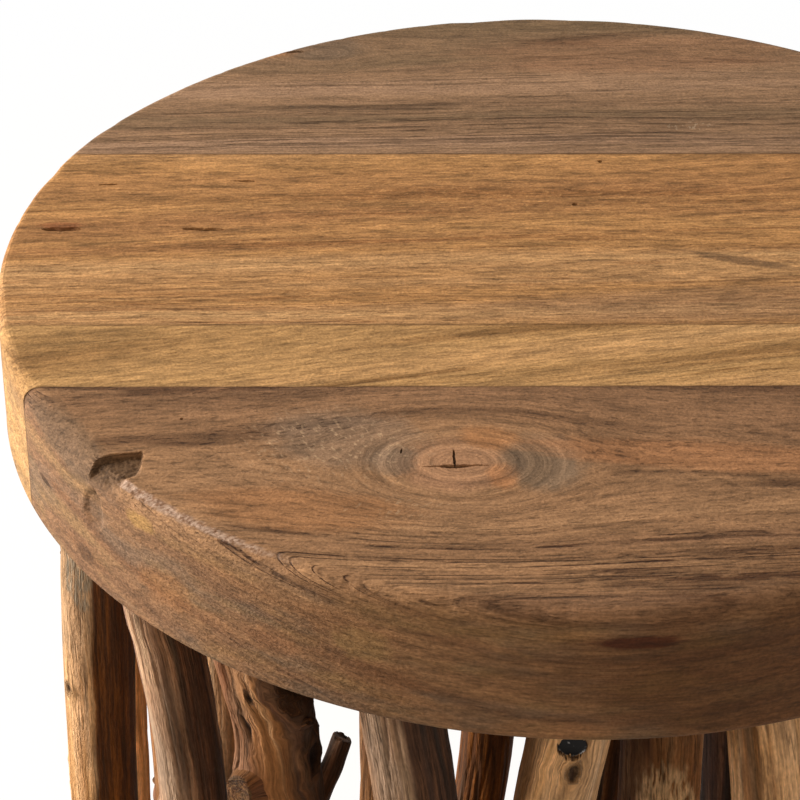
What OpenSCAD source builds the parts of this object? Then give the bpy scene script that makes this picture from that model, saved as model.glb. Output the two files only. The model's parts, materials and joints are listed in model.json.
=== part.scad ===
// Round side table: a thick top of four edge-glued teak boards on a ring of crooked teak branches.
// The branches stand around two hoops, one under the top and one near the floor, and are housed over
// their edges and screwed to them. Millimetres, +Z up, origin on the floor under the top's middle.
// An azimuth is measured in degrees from the front, -Y, towards +X.

/* [Table] */
// Height of the table from the floor
table_h = 450; // [400:5:520]
// Diameter of the round top
top_d = 400; // [370:5:450]
// Thickness of the top
top_t = 50; // [42:1:60]

/* [Top boards] */
// Width of the second board from the back
middle_board_w = 121; // [100:1:135]
// Width of the narrow board
narrow_board_w = 38.5; // [36:0.5:60]
// How far the middle board reaches forward of the table's centre line
middle_board_reach = 39.5; // [25:0.5:55]
// Radius of the rounded edge on top
arris_r = 5; // [2:0.5:8]
// Radius of the rounded edge underneath
under_r = 2.5; // [1:0.5:4]

/* [Dowels between the boards] */
// Diameter of a dowel
dowel_d = 8; // [6:0.5:12]
// Length of a dowel
dowel_l = 30; // [20:1:32]
// Distance from one dowel to the next along a joint
dowel_pitch = 115; // [80:5:125]
// How far the front row is shifted along its joint, so that two rows never meet in the narrow board
dowel_stagger = 20; // [14:1:30]
// Gap around a dowel
dowel_gap = 0.1; // [0.05:0.05:0.2]
// Glue space past each end of a dowel
dowel_end_gap = 1; // [0.5:0.5:2]

/* [Branches] */
// Usual thickness of a branch
branch_d = 27; // [22:0.5:30]
// How far the rim stands out past a branch of the usual thickness
overhang = 12; // [8:0.5:20]
// Depth of the housing cut into a branch for a hoop
housing_depth = 3; // [2:0.5:5]
// Gap between a housing and its hoop
housing_gap = 0.2; // [0.1:0.05:0.4]

/* [Hoops] */
// Width of a hoop, from its inner to its outer edge
hoop_w = 30; // [26:1:40]
// Thickness of a hoop
hoop_t = 28; // [20:1:32]
// Height of the lower hoop's underside above the floor
hoop_lift = 18; // [12:1:40]

/* [Screws] */
// Diameter of a screw's shank
screw_d = 4.5; // [3.5:0.5:6]
// Diameter of a screw's countersunk head
screw_head_d = 9; // [7:0.5:11]
// Wood left between the point of a hoop's screw and the bark of a branch of the usual thickness
screw_cover = 8; // [5:1:11]
// Length of a screw that holds the top
top_screw_l = 55; // [45:1:60]
// How deep a head is sunk below the wood
screw_sink = 2; // [1:0.5:3]
// Gap around a screw
screw_gap = 0.1; // [0.05:0.05:0.2]

/* [Hidden] */
// The branch tables give lengths for a branch this long and this thick, and the table's own branches
// follow them in proportion
DRAWN_L = 400;
DRAWN_D = 27;
// Columns of the table of branches
AZIMUTH = 0;  // where its top end stands
THICK = 1;    // thickness as a share of the usual one
LEAN = 2;     // how far its foot stands sideways from its top end
BOW = 3;      // how far its middle is bent sideways
KINK = 4;     // how far its quarter points swing to opposite sides
BELLY = 5;    // how far its middle is bent outwards
// Branches outside the hoops, from the left round the front to the right and back
OUTER = [
    [-71.4, 0.93, -7, -4, -5, 4],
    [-57.8, 0.87, 0, 10, 20, 2],
    [-37.5, 1.0, 5, 4, 8, 1],
    [-20.7, 0.97, 4, 3, 8, 3],
    [-1.3, 0.98, -4, -4, -7, 2],
    [18.2, 1.02, 5, 3, 9, 1],
    [37.5, 0.97, -4, -5, 4, 3],
    [56, 1.05, 6, 3, -6, 1],
    [74, 0.93, -2, 6, 3, 4],
    [93, 1.08, 4, -4, -5, 1],
    [111, 0.98, -5, 4, 6, 3],
    [129, 1.1, 3, -5, 3, 2],
    [148, 0.96, -4, 3, -7, 1],
    [167.5, 1.03, 3, -3, 4, 3],
    [184.3, 1.0, 12, 0, 8, 2],
    [219, 1.0, -4, 3, -4, 2],
    [241.5, 1.06, 3, -4, 5, 1],
    [257.5, 0.96, -3, 5, -4, 4]
];
// Branches inside the hoops
INNER = [
    [-24.5, 0.98, -8, -3, -5, 2],
    [13.2, 1.0, 2, 1, 1, 1],
    [83.5, 0.94, 5, -4, 3, 2],
    [137, 1.0, -4, 3, 5, 1],
    [206.5, 0.93, 3, 4, -2, 2],
    [269, 0.97, -5, -3, 4, 1]
];
// Knots: branch, height above the floor, bearing around it from outwards, how proud, how long
KNOTS = [
    [0, 255, -60, 2.0, 20], [0, 150, 40, 2.5, 22], [1, 290, -30, 2.0, 24], [1, 105, 60, 3.0, 22],
    [2, 384, 35, 3.0, 22], [2, 352, 85, 3.5, 18], [2, 396, -75, 6.0, 34], [2, 215, -70, 3.0, 26],
    [3, 240, 20, 2.5, 24],
    [4, 300, -20, 2.0, 22], [4, 128, 70, 3.0, 24], [5, 322, -40, 2.5, 20], [5, 90, 10, 2.5, 24],
    [6, 265, 30, 3.0, 24], [7, 180, -35, 3.0, 22], [8, 310, 10, 2.5, 22], [9, 120, -20, 3.0, 24],
    [10, 250, 45, 3.0, 22], [11, 205, -50, 3.0, 26], [12, 330, 0, 2.5, 22], [13, 145, 25, 3.0, 24],
    [14, 275, -15, 2.5, 22], [15, 230, 50, 3.0, 22], [16, 295, -30, 3.0, 24], [17, 170, 0, 2.5, 22],
    [18, 200, 160, 2.5, 22], [19, 310, 190, 2.5, 22], [20, 140, 170, 2.5, 24], [21, 260, 200, 2.5, 22],
    [22, 180, 150, 2.5, 22], [23, 300, 185, 2.5, 24]
];
// Sawn-off side shoots: branch, height above the floor where it leaves the branch's middle, bearing,
// rise above level, length from there, diameter at the root and at the tip
SHOOTS = [
    [2, 340, -8, 12, 20, 13, 11], [2, 358, 78, 38, 23, 8, 3], [15, 52, -101, 60, 62, 14, 10.5],
    [6, 210, -25, 40, 24, 12, 9], [8, 130, 35, 30, 22, 12, 10], [10, 330, -30, 35, 22, 11, 9],
    [12, 160, 30, 45, 27, 13, 9], [16, 115, -20, 25, 21, 12, 10], [17, 285, 25, 40, 23, 11, 8]
];
// The branch that is also screwed from its bark, into the upper hoop
BARK_SCREWED = 4;
// Azimuths of the screws that hold the top, each between two branches
TOP_SCREWS = [-11, 47, 102, 157.5, 202, 249];
// Scooped hollows that the tree left at the front board's rim: azimuth, how far the ball's centre lies
// outside the rim and above the top's upper face, radius of the ball
HOLLOWS = [[-50.5, -8, 11, 15], [-56, 9, -24, 14]];

BRANCHES = concat(OUTER, INNER);
BRANCH_SIDES = 12;
BRANCH_RINGS = 22;
ROUND = 96;      // segments of a large circle
SMALL_ROUND = 32; // segments of a small circle
CUT = 1;         // how far a cut runs past the face that it opens
SCREW_POINT_L = 5;

leg_h = table_h - top_t;
along = leg_h / DRAWN_L;
across = branch_d / DRAWN_D;
top_r = top_d / 2;
hoop_r = top_r - overhang - branch_d + housing_depth;
hoop_inner_r = hoop_r - hoop_w;
lower_hoop_z = hoop_lift;
upper_hoop_z = leg_h - hoop_t;
hoop_heights = [lower_hoop_z, upper_hoop_z];
middle_board_front = -middle_board_reach;
middle_board_back = middle_board_front + middle_board_w;
narrow_board_front = middle_board_front - narrow_board_w;
joints = [middle_board_back, middle_board_front, narrow_board_front];
dowel_z = leg_h + top_t / 2;
bore_r = screw_d / 2 + screw_gap;
branch_screw_l = hoop_w - screw_sink + branch_d - housing_depth - screw_cover;

function two_digits(n) = n < 10 ? str("0", n) : str(n);
function branch_name(k) =
    k < len(OUTER) ? str("branch_", two_digits(k + 1)) : str("inner_branch_", k + 1 - len(OUTER));
BRANCH_NAMES = [for (k = [0 : len(BRANCHES) - 1]) branch_name(k)];

// Point at an azimuth and a distance from the table's middle
function polar(azimuth, r) = [r * sin(azimuth), -r * cos(azimuth)];
function total(values, i = 0) = i < len(values) ? values[i] + total(values, i + 1) : 0;

// A branch's run. Height z is above the floor, and share 0 is its top end, 1 its foot.
function is_outer(k) = k < len(OUTER);
function thickness(k) = branch_d * BRANCHES[k][THICK];
function share(z) = 1 - z / leg_h;
function seat_r(k) = is_outer(k)
    ? hoop_r - housing_depth + thickness(k) / 2
    : hoop_inner_r + housing_depth - thickness(k) / 2;
function run_r(k, z) = seat_r(k) + along * BRANCHES[k][BELLY] * pow(sin(180 * share(z)), 2);
function sway(k, z) =
    along * (BRANCHES[k][LEAN] * share(z)
    + BRANCHES[k][BOW] * sin(180 * share(z))
    + BRANCHES[k][KINK] * sin(360 * share(z)));
function run_azimuth(k, z) = BRANCHES[k][AZIMUTH] + sway(k, z) / seat_r(k) * 180 / PI;
function run_point(k, z) = concat(polar(run_azimuth(k, z), run_r(k, z)), [z]);

// A branch's outline. A bearing of 0 faces away from the table's middle.
function knot_rise(knot, bearing, z) =
    let (turn = (bearing - knot[2] + 540) % 360 - 180)
    across * knot[3] * exp(-pow((z / along - knot[1]) / knot[4] * 2, 2) - pow(turn / 40, 2));
function knots_at(k, bearing, z) =
    total([for (knot = KNOTS) if (knot[0] == k) knot_rise(knot, bearing, z)]);
function outline(k, bearing, z) =
    1 + 0.05 * cos(2 * bearing + 47 * k + 110 * share(z))
    + 0.03 * cos(3 * bearing - 71 * k - 200 * share(z))
    + 0.025 * sin(360 * (1.7 * share(z) + 0.37 * k));
function branch_r(k, bearing, z) =
    thickness(k) / 2 * outline(k, bearing, z) + knots_at(k, bearing, z);
function branch_ring(k, z) = [
    for (i = [0 : BRANCH_SIDES - 1])
        let (bearing = 360 * i / BRANCH_SIDES, out = run_azimuth(k, z) - 90 + bearing)
        run_point(k, z) + branch_r(k, bearing, z) * [cos(out), sin(out), 0]
];

// Closed skin over rings of points, the highest ring first
module skin(rings) {
    n = len(rings[0]);
    last = (len(rings) - 1) * n;
    sides = [
        for (i = [0 : len(rings) - 2], j = [0 : n - 1])
            let (a = i * n + j, b = i * n + (j + 1) % n)
            each [[a, b, b + n], [a, b + n, a + n]]
    ];
    top = [for (j = [n - 1 : -1 : 0]) j];
    foot = [for (j = [0 : n - 1]) last + j];
    polyhedron([for (ring = rings) each ring], concat(sides, [top, foot]));
}

module branch_wood(k) {
    skin([for (i = [0 : BRANCH_RINGS - 1]) branch_ring(k, leg_h * (1 - i / (BRANCH_RINGS - 1)))]);
    for (shoot = SHOOTS)
        if (shoot[0] == k) {
            z = along * shoot[1];
            translate(run_point(k, z))
                rotate([0, 0, run_azimuth(k, z) - 90 + shoot[2]])
                    rotate([0, 90 - shoot[3], 0])
                        scale(across)
                            cylinder(h = shoot[4], d1 = shoot[5], d2 = shoot[6], $fn = SMALL_ROUND);
        }
}

// What a hoop at height z, with its gap, takes out of the branches outside or inside it
module housing_outside(z) {
    translate([0, 0, z - housing_gap])
        cylinder(h = hoop_t + 2 * housing_gap, r = hoop_r + housing_gap, $fn = ROUND);
}

module housing_inside(z) {
    difference() {
        housing_outside(z);
        translate([0, 0, z - housing_gap - CUT])
            cylinder(h = hoop_t + 2 * (housing_gap + CUT), r = hoop_inner_r - housing_gap, $fn = ROUND);
    }
}

// Countersunk screw along +Z, its head's face at the origin
module screw(l) {
    head_h = (screw_head_d - screw_d) / 2;
    rim = 0.6;
    rotate_extrude($fn = SMALL_ROUND)
        polygon([
            [0, 0], [screw_head_d / 2, 0], [screw_head_d / 2, rim], [screw_d / 2, rim + head_h],
            [screw_d / 2, l - SCREW_POINT_L], [rim, l], [0, l]
        ]);
}

// Hole for that screw, with room for the head and an open way out behind it
module screw_bore(l) {
    cylinder(h = l + screw_gap, r = bore_r, $fn = SMALL_ROUND);
    head_h = (screw_head_d - screw_d) / 2;
    rim = 0.6;
    head_r = screw_head_d / 2 + screw_gap;
    translate([0, 0, rim])
        cylinder(h = head_h + screw_gap, r1 = head_r, r2 = bore_r, $fn = SMALL_ROUND);
    translate([0, 0, -branch_d / 2])
        cylinder(h = branch_d / 2 + rim, r = head_r, $fn = SMALL_ROUND);
}

// Distance of a screw's head from the table's middle. The heads lie in the hoop's free face, apart from
// one that lies in the bark.
function from_bark(k, hoop_z) = k == BARK_SCREWED && hoop_z == upper_hoop_z;
function head_place(k, hoop_z) =
    let (z = hoop_z + hoop_t / 2)
    from_bark(k, hoop_z) ? run_r(k, z) + branch_r(k, 0, z) - screw_sink
    : is_outer(k) ? hoop_inner_r + screw_sink
    : hoop_r - screw_sink;

// Puts a screw or its bore at the joint of branch k with the hoop at height hoop_z
module at_branch_screw(k, hoop_z) {
    z = hoop_z + hoop_t / 2;
    a = run_azimuth(k, z);
    points_out = is_outer(k) && !from_bark(k, hoop_z);
    translate(concat(polar(a, head_place(k, hoop_z)), [z]))
        rotate([0, 0, a - 90])
            rotate([0, points_out ? 90 : -90, 0])
                children();
}

// Puts the screws or bores that hold the top at their places, pointing up
module at_top_screws() {
    for (a = TOP_SCREWS)
        translate(concat(polar(a, hoop_r - hoop_w / 2), [upper_hoop_z + screw_sink]))
            children();
}

module branch(k) {
    shades = ["#a97f55", "#8f6d4c", "#b08a62", "#9a7350"];
    color(shades[k % len(shades)])
        difference() {
            branch_wood(k);
            for (z = hoop_heights) {
                if (is_outer(k)) housing_outside(z);
                else housing_inside(z);
                at_branch_screw(k, z) screw_bore(branch_screw_l);
            }
        }
}

module hoop(z) {
    difference() {
        translate([0, 0, z])
            difference() {
                cylinder(h = hoop_t, r = hoop_r, $fn = ROUND);
                translate([0, 0, -CUT])
                    cylinder(h = hoop_t + 2 * CUT, r = hoop_inner_r, $fn = ROUND);
            }
        for (k = [0 : len(BRANCHES) - 1])
            at_branch_screw(k, z) screw_bore(branch_screw_l);
    }
}

module upper_hoop() {
    color("#9c7a52")
        difference() {
            hoop(upper_hoop_z);
            at_top_screws() screw_bore(top_screw_l);
        }
}

module lower_hoop() {
    color("#9c7a52") hoop(lower_hoop_z);
}

// The glued blank as it comes off the lathe
module turned_top() {
    translate([0, 0, leg_h])
        rotate_extrude($fn = ROUND)
            difference() {
                square([top_r, top_t]);
                translate([top_r - arris_r, top_t - arris_r])
                    difference() {
                        square(arris_r + CUT);
                        circle(arris_r, $fn = SMALL_ROUND);
                    }
                translate([top_r - under_r, under_r])
                    difference() {
                        translate([0, -under_r - CUT]) square(under_r + CUT);
                        circle(under_r, $fn = SMALL_ROUND);
                    }
            }
}

module dowel_places() {
    for (row = [0 : len(joints) - 1], i = [-1 : 1])
        translate([i * dowel_pitch + (row == 2 ? dowel_stagger : 0), joints[row], dowel_z])
            rotate([90, 0, 0])
                children();
}

// One board of the top, between two lines across it
module board(front, back) {
    difference() {
        intersection() {
            turned_top();
            translate([-top_r - CUT, front, leg_h - CUT])
                cube([top_d + 2 * CUT, back - front, top_t + 2 * CUT]);
        }
        dowel_places()
            cylinder(h = dowel_l + 2 * dowel_end_gap, r = dowel_d / 2 + dowel_gap,
                     center = true, $fn = SMALL_ROUND);
        at_top_screws()
            cylinder(h = top_screw_l + screw_gap, r = bore_r, $fn = SMALL_ROUND);
    }
}

module back_board() {
    color("#8a6c4f") board(middle_board_back, top_r + CUT);
}

module middle_board() {
    color("#a87c4d") board(middle_board_front, middle_board_back);
}

module narrow_board() {
    color("#b38e58") board(narrow_board_front, middle_board_front);
}

module front_board() {
    color("#8d6847")
        difference() {
            board(-top_r - CUT, narrow_board_front);
            for (hollow = HOLLOWS)
                translate(concat(polar(hollow[0], top_r + hollow[1]), [table_h + hollow[2]]))
                    sphere(hollow[3], $fn = ROUND);
        }
}

module board_dowels() {
    chamfer = 1;
    color("#cfae7e")
        dowel_places()
            translate([0, 0, -dowel_l / 2])
                rotate_extrude($fn = SMALL_ROUND)
                    polygon([
                        [0, 0], [dowel_d / 2 - chamfer, 0], [dowel_d / 2, chamfer],
                        [dowel_d / 2, dowel_l - chamfer], [dowel_d / 2 - chamfer, dowel_l], [0, dowel_l]
                    ]);
}

module upper_branch_screws() {
    color("#3a3634")
        for (k = [0 : len(BRANCHES) - 1])
            at_branch_screw(k, upper_hoop_z) screw(branch_screw_l);
}

module lower_branch_screws() {
    color("#3a3634")
        for (k = [0 : len(BRANCHES) - 1])
            at_branch_screw(k, lower_hoop_z) screw(branch_screw_l);
}

module top_screws() {
    color("#3a3634") at_top_screws() screw(top_screw_l);
}

back_board();
middle_board();
narrow_board();
front_board();
board_dowels();
upper_hoop();
lower_hoop();
for (k = [0 : len(BRANCHES) - 1])
    branch(k);
upper_branch_screws();
lower_branch_screws();
top_screws();
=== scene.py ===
# %% [markdown]
# A round side table: a thick top of four old teak boards, glued edge to edge and turned to a disc, on a
# ring of peeled, crooked teak branches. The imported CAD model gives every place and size. This script
# dresses it: each board and each branch gets a finer mesh in the same place, and every wood its finish.
# All lengths in the cells are in millimetres, and MM turns them to Blender's metres.

# %% Load the CAD model
import json
from math import acos, atan2, ceil, cos, degrees, hypot, pi, radians, sin, sqrt

import bmesh
import bpy
import numpy as np
from mathutils import Matrix, Vector, noise
from mathutils.bvhtree import BVHTree


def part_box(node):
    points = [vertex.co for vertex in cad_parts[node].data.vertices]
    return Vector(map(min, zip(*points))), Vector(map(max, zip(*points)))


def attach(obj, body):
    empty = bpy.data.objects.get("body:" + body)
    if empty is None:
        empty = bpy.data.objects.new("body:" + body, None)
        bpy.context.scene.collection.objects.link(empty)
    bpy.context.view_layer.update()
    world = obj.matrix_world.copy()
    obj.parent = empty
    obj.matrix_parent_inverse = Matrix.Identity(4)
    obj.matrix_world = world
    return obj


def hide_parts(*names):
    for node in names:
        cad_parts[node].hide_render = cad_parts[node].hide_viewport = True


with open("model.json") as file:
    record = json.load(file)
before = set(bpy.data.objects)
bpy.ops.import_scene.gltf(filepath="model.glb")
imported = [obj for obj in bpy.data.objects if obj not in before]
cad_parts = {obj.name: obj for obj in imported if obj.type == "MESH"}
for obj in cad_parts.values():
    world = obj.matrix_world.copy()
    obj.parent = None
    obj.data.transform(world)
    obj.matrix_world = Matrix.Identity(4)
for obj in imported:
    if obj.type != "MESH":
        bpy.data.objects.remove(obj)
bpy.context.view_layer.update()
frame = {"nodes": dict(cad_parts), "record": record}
MM = 0.001
scene = bpy.context.scene

# %% [markdown]
# The camera stands in front of the table, a little to the left, and looks down on the top by a third of a
# right angle. Its place and lens were worked out from the two edges of the round top in the photograph.
# A camera could also be aimed with a constraint, but a matrix of its three directions is exact.

# %% Make the camera
CAMERA_PLACE = (-66.85, -864.38, 966.67)
CAMERA_RIGHT = (0.999968, -0.007336, 0.003111)
CAMERA_UP = (0.001466, 0.553149, 0.833081)
CAMERA_LENS, SENSOR_WIDTH = 128.25, 36

camera = bpy.data.objects.new("camera", bpy.data.cameras.new("camera"))
scene.collection.objects.link(camera)
right, up = Vector(CAMERA_RIGHT).normalized(), Vector(CAMERA_UP).normalized()
back = right.cross(up).normalized()
up = back.cross(right)
turned = Matrix((right, up, back)).transposed().to_4x4()
camera.matrix_world = Matrix.Translation(Vector(CAMERA_PLACE) * MM) @ turned
camera.data.lens = CAMERA_LENS
camera.data.sensor_width = SENSOR_WIDTH
camera.data.clip_start = 0.01
camera.data.dof.use_dof = False
scene.camera = camera
print("camera looks down by", round(degrees(acos(back.xy.length)), 1), "degrees")

# %% [markdown]
# Every finish below is a net of shader nodes. One small function adds a node, sets it up and links it, and
# returns the output that is wanted; a few others, built on it, let a material read like a formula. Colours
# are the hex values that a paint program shows, turned to the linear values that light adds up in.

# %% Helpers for colours and shader nodes
def linear(hex_colour):
    """Turns an sRGB hex colour to linear RGBA."""
    parts = [int(hex_colour[i:i + 2], 16) / 255 for i in (0, 2, 4)]
    return (*[c / 12.92 if c <= 0.04045 else ((c + 0.055) / 1.055) ** 2.4 for c in parts], 1)


def add(kind, inputs=(), out=0, stops=None, tree=None, **settings):
    """Adds a shader node to the tree of the sockets that it links. inputs are its values, hex colours or
    sockets, in order or by name, settings are its properties, and stops the places and colours or greys of a
    ramp. A node with no links is given its tree. Returns the output named out."""
    items = list(inputs.items() if isinstance(inputs, dict) else enumerate(inputs))
    tree = tree or next(value.id_data for key, value in items if isinstance(value, bpy.types.NodeSocket))
    node = tree.nodes.new("ShaderNode" + kind)
    for key, value in settings.items():
        setattr(node, key, value)
    if stops:
        elements = node.color_ramp.elements
        while len(elements) < len(stops):
            elements.new(1)
        for element, (place, shade) in zip(elements, stops):
            element.position = place
            element.color = linear(shade) if isinstance(shade, str) else (shade, shade, shade, 1)
    for key, value in items:
        if isinstance(value, bpy.types.NodeSocket):
            tree.links.new(value, node.inputs[key])
        else:
            node.inputs[key].default_value = linear(value) if isinstance(value, str) else value
    return node if out is None else node.outputs[out]


def calc(operation, first, *others):
    """Reckons with two or more values, one after another."""
    for other in others:
        first = add("Math", [first, other], operation=operation)
    return first


def apart(value, middle):
    """How far a value is from a middle one."""
    return add("Math", [calc("SUBTRACT", value, middle)], operation="ABSOLUTE")


def remap(value, low, high, to_low=0.0, to_high=1.0, **settings):
    """Turns low into to_low and high into to_high, with what lies between, and goes no further."""
    ends = {"From Min": low, "From Max": high, "To Min": to_low, "To Max": to_high}
    return add("MapRange", {"Value": value, **ends}, **settings)


def ramp(value, *stops):
    """Gives a value the shade of the stops that it lies between."""
    return add("ValToRGB", [value], stops=stops)


def blend(share, colour, shade):
    """Lays a share of another shade over a colour."""
    return add("Mix", {0: share, 6: colour, 7: shade}, out=2, data_type="RGBA")


def tone(colour, grey, low, high, darkest, lightest):
    """Scales a colour's brightness from darkest, where a grey is low, to lightest, where it is high."""
    factor = remap(grey, low, high, darkest, lightest)
    return add("VectorMath", {0: colour, "Scale": factor}, operation="SCALE")


def norm(vector):
    """The length of a vector."""
    return add("VectorMath", [vector], out="Value", operation="LENGTH")


def split(vector):
    """The three parts of a vector."""
    return add("SeparateXYZ", [vector], out=None).outputs


def place_in_mm(tree):
    """Where a point is on the table."""
    return add("Mapping", {"Vector": add("TexCoord", out="Object", tree=tree), "Scale": (1 / MM,) * 3})


def attributes(tree, *names):
    """The greys that the mesh carries under these names."""
    return [add("Attribute", out="Fac", tree=tree, attribute_name=name) for name in names]


def new_material(name):
    """Makes an empty material and returns it with its node tree."""
    material = bpy.data.materials.new(name)
    material.use_nodes = True
    material.node_tree.nodes.clear()
    return material, material.node_tree


def finish_material(colour, roughness, height, bump_mm, gloss=0.5, metallic=0.0):
    """Ends a node tree in a Principled shader, with a bump of bump_mm where height goes from 0 to 1."""
    normal = add("Bump", {"Strength": 1.0, "Distance": bump_mm * MM, "Height": height})
    surface = add("BsdfPrincipled", {"Base Color": colour, "Roughness": roughness, "Normal": normal,
                                     "Specular IOR Level": gloss, "Metallic": metallic})
    add("OutputMaterial", {"Surface": surface}, out=None)


print("a mid grey of 808080 is", round(linear("808080")[0], 3), "in linear light")

# %% [markdown]
# The studio is a large pale floor under a soft sky. One tall lamp on the left, down to the floor as a long
# window is, gives the light its side: it models the crooked branches, even under the top, and leaves their
# right sides in shade. Straight rays from the camera get a part of the floor's brightness, and far off all
# of it, from the floor itself. So the ground looks white, and still takes the table's shadow.

# %% Set up the floor, the sky and the lamps
def lamp(name, place, aim, size, power, colour):
    """Makes an area lamp, size wide and high, at a place, pointing at another."""
    data = bpy.data.lights.new(name, "AREA")
    data.shape = "RECTANGLE"
    data.size, data.size_y = size[0] * MM, size[1] * MM
    data.energy, data.color = power, linear(colour)[:3]
    light = bpy.data.objects.new(name, data)
    scene.collection.objects.link(light)
    turn = (Vector(aim) - Vector(place)).normalized().to_track_quat("-Z", "Y")
    light.matrix_world = Matrix.Translation(Vector(place) * MM) @ turn.to_matrix().to_4x4()


def direct_ray(tree):
    """1 where the eye, a reflection or a clear material looks straight at a surface, and 0 for its light."""
    path = add("LightPath", out=None, tree=tree).outputs
    return calc("MAXIMUM", path["Is Camera Ray"], path["Is Glossy Ray"], path["Is Transmission Ray"])


lamp("window_lamp", (-1690, 260, 860), (0, 0, 860), (600, 1700), 66, "fff6ea")
lamp("ceiling_lamp", (-500, 600, 2100), (0, 0, 450), (900, 900), 9, "fff8ee")
lamp("front_lamp", (-717, -1537, 1490), (0, 0, 430), (1000, 1000), 9, "ffe4c0")
lamp("side_lamp", (1500, -1200, 420), (0, 0, 300), (900, 900), 9, "ffecd6")

SKY_LIGHT = 0.2
world = bpy.data.worlds.new("studio")
scene.world = world
world.use_nodes = True
tree = world.node_tree
tree.nodes.clear()
seen = direct_ray(tree)
sky = {"Color": blend(seen, "ffefdc", "ffffff"), "Strength": remap(seen, 0, 1, SKY_LIGHT, 1)}
add("OutputWorld", {"Surface": add("Background", sky)}, out=None)

FLOOR_R, FLOOR_DROP = 6.0, 0.0005        # metres; it lies half a millimetre under the feet
OWN_LIGHT = 0.84
WHITE_FROM, ALL_WHITE = 0.35, 1.3        # metres from the middle of the table
bm = bmesh.new()
bmesh.ops.create_circle(bm, cap_ends=True, segments=64, radius=FLOOR_R)
floor_mesh = bpy.data.meshes.new("floor")
bm.to_mesh(floor_mesh)
bm.free()
floor = bpy.data.objects.new("floor", floor_mesh)
floor.location.z = -FLOOR_DROP
scene.collection.objects.link(floor)
material, tree = new_material("paper_backdrop_matt_white")
seen = direct_ray(tree)
glow = add("Emission", {"Color": "ffffff", "Strength": calc("MULTIPLY", seen, OWN_LIGHT)})
near = add("AddShader", [add("BsdfDiffuse", {"Color": "787470"}, tree=tree), glow])
away = norm(add("TexCoord", out="Object", tree=tree))
away = remap(away, WHITE_FROM, ALL_WHITE, interpolation_type="SMOOTHSTEP")
far = add("Emission", {"Color": "ffffff", "Strength": 1.0}, tree=tree)
ground = add("MixShader", [calc("MULTIPLY", away, seen), near, far])
add("OutputMaterial", {"Surface": ground}, out=None)
floor_mesh.materials.append(material)
scene.view_settings.view_transform = "Standard"

# %% [markdown]
# The top is one disc of four boards. A board could be cut from a solid disc with booleans, but then its
# upper face would be one flat polygon with nothing to shape. Here each board starts as a fine grid, which
# is drawn out to the board's outline. Its edge on the rim is extruded down, step by step, round the upper
# arris, down the side and round the lower arris, and one face each closes the joints and the underside.

# %% Measure the boards
BOARDS = ["back_board", "middle_board", "narrow_board", "front_board"]
SPANS = {name: [round(corner.y / MM, 1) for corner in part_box(name)] for name in BOARDS}
UNDERSIDE, TOP = (round(corner.z / MM, 1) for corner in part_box("middle_board"))
RIM_R = SPANS["back_board"][1]
ARRIS_R, UNDER_ARRIS_R = 5.0, 2.5
FLAT_R = RIM_R - ARRIS_R
print("boards from front to back:", SPANS, "faces at", UNDERSIDE, TOP)

# %% Draw a board's outline
def azimuth(v):
    """Angle of a vertex round the table, from the front towards the right."""
    return atan2(v.co.x, -v.co.y)


def line_azimuth(radius, line):
    """Angle from the front at which a circle meets a line across the table."""
    return acos(max(-1.0, min(1.0, -line / radius)))


def board_face(bm, front, back, cell):
    """Makes the grid of a board's upper face, with square cells, and draws it out to the round outline."""
    ends = [line for line in (front, back) if abs(line) > FLAT_R]
    half = FLAT_R if not ends else FLAT_R * (pi / 2 - abs(pi / 2 - line_azimuth(FLAT_R, front + back - ends[0])))
    deep = min(back, FLAT_R) - max(front, -FLAT_R)
    bmesh.ops.create_grid(bm, x_segments=ceil(2 * half / cell), y_segments=ceil(deep / cell), size=1)
    for v in bm.verts:
        across, along = v.co.x, (v.co.y + 1) / 2
        if ends:  # an outer board: its columns stand on the joint and end on the arc
            x = FLAT_R * sin(across * half / FLAT_R)
            arc = sqrt(FLAT_R ** 2 - x ** 2)
            y0, y1 = (-arc, back) if front in ends else (front, arc)
            v.co = x, y0 + (y1 - y0) * along, TOP
        else:  # an inner board: its rows run from arc to arc
            y = front + (back - front) * along
            v.co = across * sqrt(FLAT_R ** 2 - y ** 2), y, TOP
    bmesh.ops.remove_doubles(bm, verts=bm.verts, dist=0.02)


# %% Pull the rim down and close the board
SIDE_STEP = 1.5


def rim_profile():
    """Radius and height of each step from the upper face round the rim to the underside."""
    upper = [(FLAT_R + ARRIS_R * sin(a), TOP - ARRIS_R * (1 - cos(a))) for a in np.linspace(0, pi / 2, 9)[1:]]
    steps = ceil((TOP - UNDERSIDE - ARRIS_R - UNDER_ARRIS_R) / SIDE_STEP)
    side = [(RIM_R, z) for z in np.linspace(TOP - ARRIS_R, UNDERSIDE + UNDER_ARRIS_R, steps + 1)[1:]]
    under = [(RIM_R - UNDER_ARRIS_R * (1 - cos(a)), UNDERSIDE + UNDER_ARRIS_R * (1 - sin(a)))
             for a in np.linspace(0, pi / 2, 6)[1:]]
    return upper + side + under


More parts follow.
